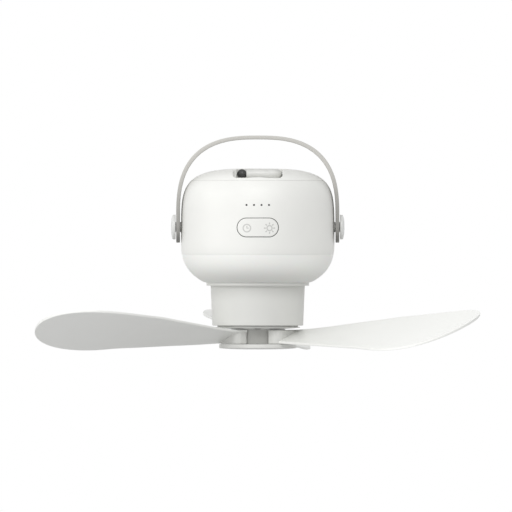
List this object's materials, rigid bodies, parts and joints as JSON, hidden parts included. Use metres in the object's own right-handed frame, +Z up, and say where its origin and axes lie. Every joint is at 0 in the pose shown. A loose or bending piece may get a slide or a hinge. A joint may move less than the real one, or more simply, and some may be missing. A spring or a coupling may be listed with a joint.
{
  "type": "portable camping fan",
  "caption": "Hanging battery fan and lamp: round white body with a strap handle, capsule key, fold-flat hook, opal lamp bowl and wide blades below.",
  "frame": {"origin": "the hanging point: middle of the inner face of the strap handle's arch, on the fan's axis", "axes": "+Z up along the spin axis, -Y towards the key and lights, +X to the right seen from the front"},
  "size_m": [0.3561, 0.3201, 0.1723],
  "materials": {
    "shell_white": "fine satin moulded texture",
    "lamp_opal": "smooth satin opal",
    "housing_white": "satin moulded",
    "key_white": "satin with two pale grey printed icons",
    "cap_white": "semi-gloss",
    "blade_white": "satin",
    "hub_grey": "satin",
    "strap_leather": "grey-beige coated leather with stitched edges",
    "hook_paint": "satin light grey powder coat",
    "tip_rubber": "matt black",
    "steel": "bright",
    "washer_grey": "satin nylon",
    "frame_grey": "matt moulded",
    "holder_black": "matt moulded",
    "cell_green": "shrink sleeve",
    "nickel": "bright strip",
    "board_green": "solder mask",
    "board_white": "white solder mask",
    "led_yellow": "phosphor",
    "pipe_smoke": "smoked clear",
    "mount_alloy": "turned",
    "bell_alloy": "grey zinc plate",
    "magnet": "plated",
    "core_steel": "laminated",
    "copper": "enamelled wire",
    "wire_red": "silicone",
    "wire_yellow": "silicone"
  },
  "bodies": {
    "casing": {"body_shell": "shell_white", "top_cover": "shell_white", "light_diffuser": "lamp_opal", "motor_housing": "housing_white", "base_plate": "housing_white", "base_screws": "steel", "mid_frame": "frame_grey", "casing_screws": "steel", "cover_screws": "steel", "battery_holder": "holder_black", "battery_cells": "cell_green", "battery_tabs": "nickel", "main_board": "board_green", "tact_switches": "holder_black", "status_leds": "board_white", "light_pipes": "pipe_smoke", "key_frame": "frame_grey", "charging_board": "board_green", "charging_socket": "steel", "led_board": "board_white", "lamp_leds": "led_yellow", "driver_board": "board_green", "motor_mount": "mount_alloy", "motor_screws": "steel", "stator_core": "core_steel", "stator_windings": "copper", "upper_bearing": "steel", "lower_bearing": "steel", "pivot_screws": "steel", "inner_washers": "washer_grey", "outer_washers": "washer_grey", "pivot_caps": "cap_white", "hook_pin": "steel", "battery_leads": "wire_red", "motor_leads": "wire_yellow"},
    "handle": {"handle_strap": "strap_leather", "strap_eyelets": "steel"},
    "key": {"rocker_key": "key_white"},
    "hook": {"hanging_hook": "hook_paint", "hook_tip": "tip_rubber"},
    "rotor": {"shaft": "steel", "circlip": "steel", "bell": "bell_alloy", "magnets": "magnet", "hub": "hub_grey", "drive_pin": "steel", "blade_1": "blade_white", "blade_2": "blade_white", "blade_3": "blade_white", "blade_screws": "steel", "hub_cap": "housing_white", "cap_screw": "steel"}
  },
  "joints": [
    {"name": "handle_swing", "type": "hinge", "parent": "casing", "child": "handle", "pos_m": [0, 0, -0.0704], "axis": [1, 0, 0], "range_deg": [-130, 130]},
    {"name": "key_rock", "type": "hinge", "parent": "casing", "child": "key", "pos_m": [0, -0.0572, -0.0708], "axis": [0, 0, 1], "range_deg": [-2, 2], "stiffness_Nm_per_rad": 0.39},
    {"name": "hook_fold", "type": "hinge", "parent": "casing", "child": "hook", "pos_m": [0, 0, -0.0279], "axis": [-1, 0, 0], "range_deg": [0, 90]},
    {"name": "blade_spin", "type": "hinge", "parent": "casing", "child": "rotor", "pos_m": [0, 0, -0.1374], "axis": [0, 0, 1], "continuous": true}
  ]
}
